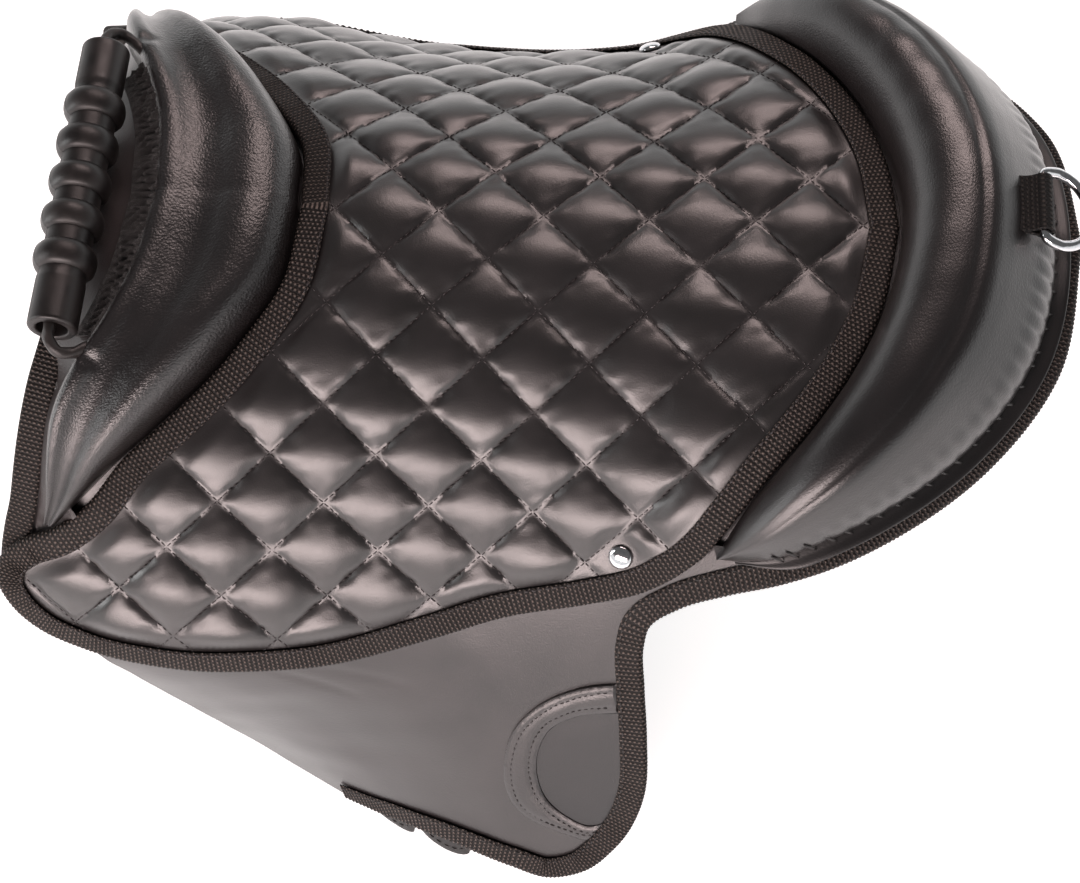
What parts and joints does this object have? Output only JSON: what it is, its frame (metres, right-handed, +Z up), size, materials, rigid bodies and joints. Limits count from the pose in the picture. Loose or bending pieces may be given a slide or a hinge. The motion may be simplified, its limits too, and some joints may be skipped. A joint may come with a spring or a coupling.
{
  "type": "pony saddle",
  "caption": "Treeless pony saddle with a quilted seat, padded pommel and cantle, a ribbed grab handle, lifting side flaps and a crupper ring at the rear.",
  "frame": {"origin": "under the middle of the saddle, on the floor that the feet of its panels stand on", "axes": "+X from the pommel at the front towards the cantle at the rear; +Y from the near (left) side to the far (right) side; +Z up"},
  "size_m": [0.4652, 0.472, 0.2675],
  "materials": {
    "quilted_leather": "soft black faux leather, quilted, satin",
    "padded_leather": "black faux leather over padding, satin with fine grain",
    "black_leather": "black faux leather sheet, satin",
    "webbing": "ribbed black synthetic webbing, matte",
    "felt": "black felt, matte",
    "rubber": "moulded black rubber, semi-matt",
    "chrome": "polished",
    "panel_lining": "black lining over foam padding, matte"
  },
  "bodies": {
    "saddle": {"billet_front_left": "black_leather", "billet_front_right": "black_leather", "billet_rear_left": "black_leather", "billet_rear_right": "black_leather", "cantle_roll": "padded_leather", "cantle_strip": "black_leather", "front_band": "webbing", "girth_web_front": "webbing", "girth_web_rear": "webbing", "grip_cord": "webbing", "panel_left": "panel_lining", "panel_right": "panel_lining", "pommel_face": "black_leather", "pommel_roll": "padded_leather", "ring_keeper": "webbing", "rivet_burr_left": "chrome", "rivet_burr_right": "chrome", "rivet_left": "chrome", "rivet_right": "chrome", "seat_binding": "webbing", "seat_leaf": "quilted_leather", "skirt": "black_leather", "skirt_binding": "webbing", "stirrup_loop_left": "webbing", "stirrup_loop_right": "webbing", "throat_trim": "felt"},
    "grip": {"grip": "rubber"},
    "crupper_ring": {"crupper_ring": "chrome"},
    "flap_left": {"flap_left": "black_leather", "flap_binding_left": "webbing", "thigh_frame_left": "black_leather", "thigh_patch_left": "black_leather"},
    "flap_right": {"flap_right": "black_leather", "flap_binding_right": "webbing", "thigh_frame_right": "black_leather", "thigh_patch_right": "black_leather"}
  },
  "joints": [
    {"name": "grip_spin", "type": "hinge", "parent": "saddle", "child": "grip", "pos_m": [-0.1952, 0, 0.2525], "axis": [0, 1, 0], "continuous": true},
    {"name": "crupper_ring_swing", "type": "hinge", "parent": "saddle", "child": "crupper_ring", "pos_m": [0.2098, 0, 0.255], "axis": [0, -1, 0], "range_deg": [0, 140]},
    {"name": "flap_left_lift", "type": "hinge", "parent": "saddle", "child": "flap_left", "pos_m": [-0.02, -0.16308, 0.13951], "axis": [-0.99, -0.0706, -0.1218], "range_deg": [0, 75]},
    {"name": "flap_right_lift", "type": "hinge", "parent": "saddle", "child": "flap_right", "pos_m": [-0.02, 0.16308, 0.13951], "axis": [0.99, -0.0706, 0.1218], "range_deg": [0, 75]}
  ]
}
